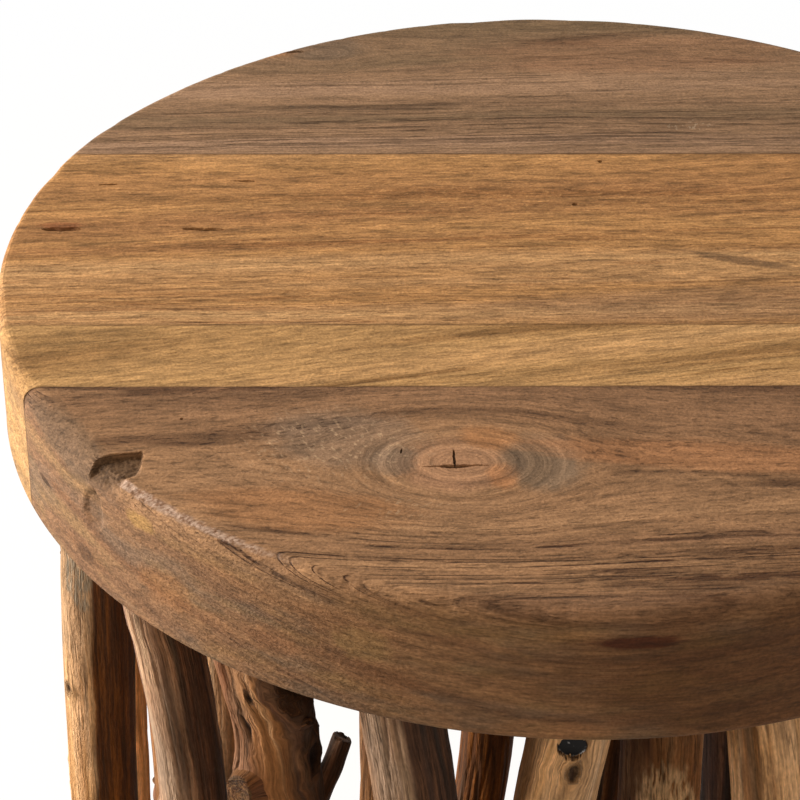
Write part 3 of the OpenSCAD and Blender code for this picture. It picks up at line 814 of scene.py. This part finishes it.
def furrow_bark(grain, seed, rough):
    """Relief of peeled, dried wood in mm, more or less rough, and how deep in a furrow each point lies."""
    cracks = sample(grain, (6.5, 6.5, 95), seed)
    gaps = step(sample(grain, (17, 17, 70), seed + 31), -0.2, 0.2)
    ribs = sample(grain, (2.9, 2.9, 42), seed + 57)
    threads = sample(grain, (1.7, 1.7, 22), seed + 71)
    lobes = sample(grain, (12, 12, 120), seed + 83)
    crack = np.clip(1 - abs(cracks) / 0.07, 0, 1) * gaps
    relief = 1.0 * lobes + rough * (0.4 * ribs + 0.25 * threads - 1.1 * crack)
    dark = crack * rough + rough * np.clip(-ribs - 0.2, 0, 1) * 0.8 + np.clip(-threads - 0.3, 0, 1) * 0.5
    return relief, np.clip(dark, 0, 1)


# %% Make the bent mesh of a branch and of its side shoots
def mesh_arrays(bm, name):
    """Turns a bmesh into a mesh and returns it with its vertices as an array."""
    mesh = bpy.data.meshes.new(name)
    bm.to_mesh(mesh)
    bm.free()
    places = np.empty(len(mesh.vertices) * 3)
    mesh.vertices.foreach_get("co", places)
    return mesh, places.reshape(-1, 3)


def store(mesh, places, **fields):
    """Writes the vertices back, in metres, and their fields as attributes."""
    mesh.vertices.foreach_set("co", (places * MM).ravel())
    for name, values in fields.items():
        kind = "FLOAT_VECTOR" if values.ndim == 2 else "FLOAT"
        layer = mesh.attributes.new(name, kind, "POINT")
        layer.data.foreach_set("vector" if values.ndim == 2 else "value", values.ravel())
    mesh.polygons.foreach_set("use_smooth", [len(p.vertices) < 5 for p in mesh.polygons])


def run_place(run, z):
    """The middle of a branch at a height."""
    return np.stack([np.interp(z, RUN_HEIGHTS, run[:, i]) for i in (0, 1)], -1)


def ring_places(centre, radius, turn, z):
    """Where points of a blank come to lie, at their distances from the branch's middle."""
    return np.stack([centre[:, 0] + radius * np.cos(turn), centre[:, 1] + radius * np.sin(turn), z], 1)


def along_and_aside(offset, axis):
    """How far each point lies along an axis, and how far beside it."""
    along = offset @ axis
    return along, np.linalg.norm(offset - along[:, None] * axis, axis=1)


def bark_side(places):
    """The bearing straight outwards at each place."""
    return np.arctan2(places[..., 1], places[..., 0])


def dark_wood_and_shade(grain, seed, off_front, dark_sides):
    """How dark each point is: dark wood, and painted shade where a side of the branch lies in shade, within ragged half
    widths of some bearings.
    """
    ragged = sample(grain, (7, 7, 60), seed + 5.5) + 0.4 * sample(grain, (2.5, 2.5, 25), seed + 8.5)
    heart = np.zeros(len(grain))
    for bearing, half_width, strength in dark_sides:
        off = np.degrees(abs((off_front - radians(bearing) + pi) % (2 * pi) - pi)) + DARK_SIDE_RAGGED * ragged
        heart = np.maximum(heart, strength * (1 - step(off, half_width - DARK_SIDE_FADE, half_width + DARK_SIDE_FADE)))
    return heart


def open_hole(places, furrow, screw):
    """Opens a ragged hole in the bark down to a screw's head, and returns the furrows with its dark edge."""
    axis = np.array([screw[0], screw[1], 0]) / hypot(screw[0], screw[1])
    along, aside = along_and_aside(places - screw, axis)
    aside += 0.25 * sample(places, 1.8, 4.0) + 1.4 * np.clip(sample(places, (0.8, 0.8, 3.5), 6.0) + 0.1, 0, 1)
    over = along > -HOLE_REACH
    inside = (1 - step(aside, HOLE_R - 0.2, HOLE_R + 0.3)) * over
    places += axis * (inside * (-UNDER_HEAD - along))[:, None]
    return np.maximum(furrow, (1 - step(abs(aside - HOLE_R), 0.2, 0.5)) * over)


def torn_patch(places, spot, half_width, half_height):
    """A pale patch round a spot: outer fibres ripped or left on, and on inner_branch_2 a painted patch of light where
    the top's shadow ends.
    """
    off = np.hypot(places[:, 0] - spot[0], places[:, 1] - spot[1]) / half_width
    off = np.hypot(off, (places[:, 2] - spot[2]) / half_height)
    return 1 - step(off + 0.3 * sample(places, (2.5, 2.5, 6), 12.0), 0.75, 1.0)


def bend_branch(node, seed, knots, shoots, rough, dark_sides, screw=None, patch=None):
    """Bends a blank over a CAD branch and returns its mesh and the side shoots' bases. dark_sides are bearings, half
    widths and strengths of dark wood and painted shade, screw the middle of a screw's head that shows, and patch the
    middle and half sizes of a pale place: outer fibres ripped or left on, and on inner_branch_2 a painted patch of
    light."""
    run, bark, true_bark = measure_branch(node)
    bm = round_blank(SIDES, RINGS, BLANK_R, LEG_TOP)
    if screw is not None:  # the blank is cut finer round the screw's hole
        side = float(bark_side(screw - np.append(run_place(run, screw[2]), 0)))
        spot = Vector((BLANK_R * cos(side), BLANK_R * sin(side), screw[2]))
        near = [e for e in bm.edges if all((v.co - spot).length < 7 for v in e.verts)]
        bmesh.ops.subdivide_edges(bm, edges=near, cuts=3, use_grid_fill=True)
    mesh, blank = mesh_arrays(bm, node + "_wood")
    turn, z = bark_side(blank), blank[:, 2]
    share = np.hypot(blank[:, 0], blank[:, 1]) / BLANK_R
    centre = run_place(run, z)
    radius = blur_to(bark, true_bark, z, turn)
    grain_turn = turn + 0.5 * sin(seed * 2.3) * z / LEG_TOP  # each tree twists in its own way
    knot_mask, end_grains = np.zeros(len(z)), []
    for height, bearing, size in knots:
        knot_turn = float(bark_side(run_place(run, height))) + radians(bearing)
        push, mask, end_grain, swell = add_knot(turn, z, knot_turn, height, size)
        grain_turn += push
        knot_mask = np.maximum(knot_mask, mask)
        end_grains.append((mask, end_grain))
        radius += swell
    grain = np.stack([BLANK_R * share * np.cos(grain_turn), BLANK_R * share * np.sin(grain_turn), z], 1)
    relief, furrow = furrow_bark(grain, seed * 7.7, rough)
    # heart carries the dark wood, with painted shade on the sides that lie in shade
    heart = dark_wood_and_shade(grain, seed, turn - bark_side(centre), dark_sides)
    for mask, end_grain in end_grains:
        core = step(mask, 0.05, 0.5)
        grain = grain * (1 - core)[:, None] + end_grain * core[:, None]
        relief = relief * (1 - 0.6 * core) + 0.35 * sample(end_grain, 1.6, seed) * core
        furrow = np.maximum(furrow * (1 - core), core * step(sample(end_grain, (1.5, 1.5, 9), 3.0), 0.15, 0.5))
    radius += relief
    bases = []
    for height, bearing, rise, length, root, tip, dark in shoots:
        base = Vector((*run_place(run, height).tolist(), height))
        out = atan2(base.y, base.x) + radians(bearing)
        way = Vector((cos(radians(rise)) * cos(out), cos(radians(rise)) * sin(out), sin(radians(rise))))
        bases.append((base, way, length, root, tip, dark))
        along, aside = along_and_aside(ring_places(centre, radius, turn, z) - base, np.array(way))
        radius += np.where(along > 0, 0.3 * root * bump_at(aside, 0, 0.75 * root), 0)
    places = ring_places(centre, radius * share, turn, z)
    out = np.hypot(places[:, 0], places[:, 1])
    outer = node.startswith("branch")
    seat = np.maximum(out, HOOP_R + HOUSING_GAP) if outer else np.minimum(out, HOOP_INNER_R - HOUSING_GAP)
    places[:, :2] *= np.where(at_hoop(z), seat / out, 1)[:, None]
    if screw is not None:
        furrow = open_hole(places, furrow, screw)
    torn = torn_patch(places, *patch) if patch else 0 * z
    store(mesh, places, grain=grain + (0, 0, 900 * seed), furrow=furrow, knot=knot_mask, heart=heart, torn=torn,
          sawn=(share < SAWN_SHARE) * 1.0)
    return mesh, bases


def bend_shoot(node, base, way, length, root, tip, dark, seed):
    """Makes a side shoot: a short, uneven, tapered blank that flares into its branch."""
    mesh, blank = mesh_arrays(round_blank(48, 40, root / 2, length), node + "_shoot")
    turn, z = bark_side(blank), blank[:, 2]
    share = np.hypot(blank[:, 0], blank[:, 1]) / (root / 2)
    grain = blank + (0, 0, 450 + 100 * seed)
    relief, furrow = furrow_bark(grain, seed * 3.1, 0.8)
    bare = np.maximum(z - BLANK_R, 0)
    radius = (root + (tip - root) * z / length) / 2 + 0.25 * root * np.exp(-bare / (0.3 * root)) + 0.4 * relief
    radius *= 0.94 + 0.13 * sample(blank, (9, 9, 12), seed + 2.5)
    side = way.cross(Vector((0, 0, 1))).normalized()
    rise = side.cross(way)
    sag = 0.06 * length * np.sin(pi * z / length)
    ragged = (share < SAWN_SHARE) * (z > length / 2) * np.clip(sample(blank, (3.5, 3.5, 50), seed + 4.5) - 0.05, 0, 1)
    places = np.array(base) + np.outer(z - 4 * ragged, way) + np.outer(radius * share * np.cos(turn) + sag, side)
    places += np.outer(radius * share * np.sin(turn), rise)
    # a shoot's darkness goes in the same field; on shoots that lie in shade it is painted shade
    store(mesh, places, grain=grain, furrow=furrow, knot=0 * z, heart=dark + 0 * z, torn=0 * z,
          sawn=(share < SAWN_SHARE) * 1.0)
    return mesh


# %% [markdown]
# A peeled branch is tan where it is smooth, brown to grey where it weathered, and nearly black down in its
# cracks and round its knots. Noise on the grain attribute runs along the wood and turns aside at a knot,
# because the attribute was bent there. The furrow attribute, cut in the mesh, also darkens the colour, so
# that light and colour tell of the same crack. The sawn ends show the year rings instead.

# %% The finish of a peeled branch
def peeled_branch(name, streaks, second, weather, dark_wood_and_shade_ramp, lines, crack, knot_shade, end_shade, torn_shade):
    """Makes a branch's material: streaks is a ramp of its wood, second and weather the shades and reach of its stained
    and grey patches, lines the strength of its fine cracks, and the rest the shades of its dark side, which is dark
    wood and painted shade, of cracks, knots and sawn ends, and of ripped fibres and a painted patch of light."""
    material, tree = new_material(name)
    grain = add("Attribute", out="Vector", tree=tree, attribute_name="grain")
    furrow, knot, heart, sawn, torn = attributes(tree, "furrow", "knot", "heart", "sawn", "torn")
    colour = ramp(pattern(grain, (5, 5, 110), 5.0), *streaks)
    for (shade, reach), size, shift in ((second, (15, 15, 120), 23.0), (weather, (22, 22, 90), 7.0)):
        colour = blend(remap(pattern(grain, size, 5.0, shift), 0.5, 0.6, 0.0, reach), colour, shade)
    wander = {0: pattern(grain, (9, 9, 9), 2.0), 1: (5, 5, 5),
              2: add("VectorMath", [grain, (1, 1, 0)], operation="MULTIPLY")}
    across = norm(add("VectorMath", wander, operation="MULTIPLY_ADD"))
    rings = add("TexNoise", {"W": across, "Scale": 0.9, "Detail": 4.0}, noise_dimensions="1D")
    colour = blend(sawn, colour, ramp(rings, (0.35, end_shade[0]), (0.6, end_shade[1])))
    # the dark side: dark wood, and painted shade where the side lies in shade
    colour = blend(heart, colour, ramp(pattern(grain, (3.2, 3.2, 70), 5.0, 37.0), *dark_wood_and_shade_ramp))
    # ripped fibres, and on inner_branch_2 a painted patch of light where the top's shadow ends
    tufts = remap(pattern(grain, (1.1, 1.1, 7), 4.0, 43.0), 0.36, 0.52)
    colour = blend(calc("MULTIPLY", tufts, torn), colour, torn_shade)
    fibres = pattern(grain, (0.8, 0.8, 16), 4.0, 3.0)
    specks = pattern(grain, (0.9, 0.9, 2.6), 3.0, 27.0)
    broad = pattern(grain, (40, 40, 170), 2.0, 11.0)
    for grey, reach in ((fibres, 0.34), (specks, 0.2), (broad, 0.16)):
        colour = tone(colour, grey, 0.3, 0.7, 1 - reach, 1 + reach)
    colour = blend(remap(knot, 0.1, 0.7, 0.0, 0.9), colour, knot_shade)
    fine = ramp(pattern(grain, (2.2, 2.2, 45), 3.0, 19.0), (0.46, 0.0), (0.5, 1.0), (0.54, 0.0))
    gaps = ramp(pattern(grain, (7, 7, 30), 3.0, 29.0), (0.44, 0.0), (0.56, lines))
    dark = calc("MAXIMUM", furrow, calc("MULTIPLY", fine, gaps))
    colour = blend(dark, colour, crack)
    height = calc("SUBTRACT", calc("ADD", fibres, specks), dark)
    finish_material(colour, 0.72, height, bump_mm=0.5, gloss=0.12)
    return material


# teak branches, peeled and dried: tan, weathered grey, and stained brown
BRANCH_LOOKS = {
    "tan_branch": peeled_branch(
        "teak_branch_peeled_and_dried", [(0.3, "a57546"), (0.42, "d7a774"), (0.55, "eabc8d"), (0.7, "f7d5b1")],
        ("ba824d", 0.6), ("c4a78a", 0.5), [(0.35, "271107"), (0.5, "4f280c"), (0.66, "8a521f")], 0.45,
        "2a180c", "2c190e", ("a8845a", "6b4c30"), "a1917d"),
    "grey_branch": peeled_branch(
        "teak_branch_peeled_and_weathered", [(0.3, "6b4d3c"), (0.42, "9a775b"), (0.55, "b18d73"), (0.7, "c4a485")],
        ("73554d", 0.75), ("9e8c7b", 0.55), [(0.35, "251d19"), (0.5, "412b20"), (0.66, "694935")], 0.65,
        "20140c", "241710", ("8f7052", "543c2a"), "d8b48c"),
    "brown_branch": peeled_branch(
        "teak_branch_peeled_and_stained", [(0.3, "573a2a"), (0.42, "8d613c"), (0.55, "a7774e"), (0.7, "bf946c")],
        ("714934", 0.75), ("8b6e57", 0.5), [(0.35, "1e1410"), (0.5, "3d2214"), (0.66, "673f21")], 0.75,
        "1c1008", "180d07", ("8a6a48", "4c3424"), "f0cda2")}
print("branch finishes:", [m.name for m in BRANCH_LOOKS.values()])

# %% [markdown]
# The tables name each branch's knots and the shoots that were sawn off it, at the places where the CAD model has them.
# A knot is given by its height, its bearing from straight outwards and its size; a shoot by its height, bearing, rise,
# length, two thicknesses and how dark it is, which on the shoots that lie in shade is painted shade. Some branches show
# a dark side: dark wood and painted shade on the front branches, and painted shade only on the inner sides of the back
# ones. Two show a pale patch: ripped fibres on branch_01 and a painted patch of light on inner_branch_2.

# %% Make every branch
KNOTS = {
    "branch_01": [(255, -60, 5), (150, 40, 6), (302, 17, 2)], "branch_02": [(290, -30, 5), (105, 60, 6)],
    "branch_03": [(387, 88, 8), (380, 20, 1.6), (352, 96, 4), (215, -70, 6)], "branch_04": [(240, 20, 6)],
    "branch_05": [(300, -20, 5), (128, 70, 6), (376, 12, 3.1)], "branch_06": [(322, -40, 5), (90, 10, 6)],
    "branch_07": [(265, 30, 6)], "branch_08": [(180, -35, 5)], "branch_09": [(310, 10, 5)],
    "branch_10": [(120, -20, 6)], "branch_11": [(250, 45, 5)], "branch_12": [(205, -50, 6)],
    "branch_13": [(330, 0, 5)], "branch_14": [(145, 25, 6)], "branch_15": [(275, -15, 5)],
    "branch_16": [(230, 50, 5)], "branch_17": [(295, -30, 6)], "branch_18": [(170, 0, 5)],
    "inner_branch_1": [(200, 160, 5)], "inner_branch_2": [(310, 190, 5)], "inner_branch_3": [(140, 170, 6)],
    "inner_branch_4": [(260, 200, 5)], "inner_branch_5": [(180, 150, 5)], "inner_branch_6": [(300, 185, 6)]}
SHOOTS = {
    "branch_03": [(340, -8, 12, 20, 13, 11, 0.5), (358, 78, 38, 23, 8, 3, 0.9)],
    "branch_16": [(52, -101, 60, 62, 14, 10.5, 0.85)], "branch_07": [(210, -25, 40, 24, 12, 9, 0.2)],
    "branch_09": [(130, 35, 30, 22, 12, 10, 0.2)], "branch_11": [(330, -30, 35, 22, 11, 9, 0.3)],
    "branch_13": [(160, 30, 45, 27, 13, 9, 0.4)], "branch_17": [(115, -20, 25, 21, 12, 10, 0.4)],
    "branch_18": [(285, 25, 40, 23, 11, 8, 0.2)]}
ROUGHNESS = {
    "branch_01": 0.4, "branch_02": 0.5, "branch_03": 1.3, "branch_04": 0.5, "branch_05": 0.35, "branch_06": 0.45}
# Dark sides: on the front branches the dark right sides are dark wood and painted shade; the inner sides of the back
# branches, seen through the gaps, are painted shade.
DARK_SIDES = {
    "branch_01": [(116, 54, 0.95)], "branch_02": [(102, 36, 0.9), (48, 12, 0.75)], "branch_03": [(100, 45, 0.75)],
    "branch_04": [(66, 46, 0.95)], "branch_06": [(-62, 14, 0.7)], "branch_14": [(180, 110, 0.9)],
    "branch_15": [(180, 110, 0.95)], "branch_16": [(180, 100, 0.7)], "inner_branch_2": [(-60, 42, 0.35)],
    "inner_branch_4": [(180, 120, 0.95)], "branch_13": [(180, 100, 0.9)]}
# branch_01's patch is grey fibres and bark; inner_branch_2's is a painted patch of light where the top's shadow ends on
# it
PATCHES = {"branch_01": ((-173, -61.5, 358), 5.5, 17), "inner_branch_2": ((31, -133, 306), 12.5, 30)}
screws = np.array([v.co[:] for v in frame["nodes"]["upper_branch_screws"].data.vertices]) / MM
outermost = np.hypot(screws[:, 0], screws[:, 1])
SHOWN_SCREWS = {"branch_05": screws[outermost > outermost.max() - 0.3].mean(0)}
print("screw head in the bark at", SHOWN_SCREWS["branch_05"].round(1))
faces = 0
for seed, (node, knots) in enumerate(KNOTS.items(), 1):
    dark_sides = DARK_SIDES.get(node, [(170 + 90 * sin(seed * 4.1), 45, 0.7)])
    rough = ROUGHNESS.get(node, 0.7)
    mesh, bases = bend_branch(node, seed, knots, SHOOTS.get(node, []), rough, dark_sides, SHOWN_SCREWS.get(node),
                              PATCHES.get(node))
    pieces = [(node + "_wood", mesh)]
    pieces += [(f"{node}_shoot_{i}", bend_shoot(node, *base, seed + i)) for i, base in enumerate(bases, 1)]
    for title, piece_mesh in pieces:
        place_piece(title, piece_mesh, node, BRANCH_LOOKS[SLOTS[node]])
        faces += len(piece_mesh.polygons)
print(len(KNOTS), "branches,", faces, "faces")

# %% [markdown]
# The hoops, dowels and screws are hidden from the front, and seen from below or between the branches.
# Their CAD shapes are right as they are, so they only get a finish: the hoops are strips of rough-sawn
# teak bent round, so their grain follows the hoop; the dowels are turned beech; the screws are black.

# %% The finish of the hoops
def bent_teak(name):
    """Rough-sawn teak whose grain runs round the hoop, with the marks of the saw across it."""
    material, tree = new_material(name)
    x, y, z = split(place_in_mm(tree))
    around = calc("MULTIPLY", calc("ARCTAN2", y, x), HOOP_R)
    out = norm(add("CombineXYZ", [x, y, 0.0]))
    field = add("CombineXYZ", [around, out, z])
    bands = pattern(field, (260, 6, 9), 4.0)
    colour = ramp(bands, (0.3, "71522f"), (0.45, "95734a"), (0.58, "a58257"), (0.7, "ae8e66"))
    pores = remap(pattern(field, (12, 0.8, 0.8), 1.0, 3.0), 0.58, 0.68)
    colour = blend(pores, colour, "5a3f24")
    saw = pattern(field, (1.6, 60, 60), 2.0, 9.0)
    colour = tone(colour, saw, 0.35, 0.65, 0.9, 1.08)
    finish_material(colour, 0.72, calc("SUBTRACT", saw, pores), bump_mm=0.3)
    return material


def turned_beech(name):
    """Pale beech with its small brown flecks, along the dowels."""
    material, tree = new_material(name)
    mm = place_in_mm(tree)
    colour = ramp(pattern(mm, (5, 40, 5), 3.0), (0.35, "c29b68"), (0.6, "d6b583"))
    flecks = remap(pattern(mm, (0.8, 3.5, 0.8), 1.0, 2.0), 0.6, 0.7)
    finish_material(blend(flecks, colour, "9b6f42"), 0.5, flecks, bump_mm=0.05)
    return material


def blackened_steel(name, driven):
    """Steel screws with a black phosphate skin: dark, dull and worn to bare metal in spots, with a painted highlight of
    bright metal on the lower edge of the head of the one that was driven through the bark."""
    material, tree = new_material(name)
    mm = place_in_mm(tree)
    spots = remap(pattern(mm, (2.2, 2.2, 2.2), 4.0), 0.6, 0.72)
    off = add("VectorMath", {0: mm, 1: driven}, out="Value", operation="DISTANCE")
    below = remap(split(mm)[2], driven[2] - 1.0, driven[2] - 2.6)
    # a painted highlight: bright metal on the lower edge of the head that shows in the bark
    lip_highlight = calc("MULTIPLY", remap(off, 3.8, 4.2), remap(off, 5.5, 5.0), below)
    # bare holds the worn spots and the painted highlight
    bare = calc("MAXIMUM", lip_highlight, spots)
    colour = blend(bare, "100d0b", "8b8580")
    finish_material(colour, remap(bare, 0, 1, 0.55, 0.35), pattern(mm, (0.5, 0.5, 0.5)),
                    bump_mm=0.04, metallic=0.8)
    return material


SOLID_LOOKS = {"hoop_teak": bent_teak("teak_rough_sawn_and_bent"), "dowel_beech": turned_beech("beech_turned"),
               "black_screw_steel": blackened_steel("steel_phosphated_black", SHOWN_SCREWS["branch_05"].tolist())}
for node, piece in frame["nodes"].items():
    if SLOTS[node] in SOLID_LOOKS:
        for slot in piece.material_slots:
            slot.material = SOLID_LOOKS[SLOTS[node]]
print("finished as they are:", [node for node in frame["nodes"] if SLOTS[node] in SOLID_LOOKS])
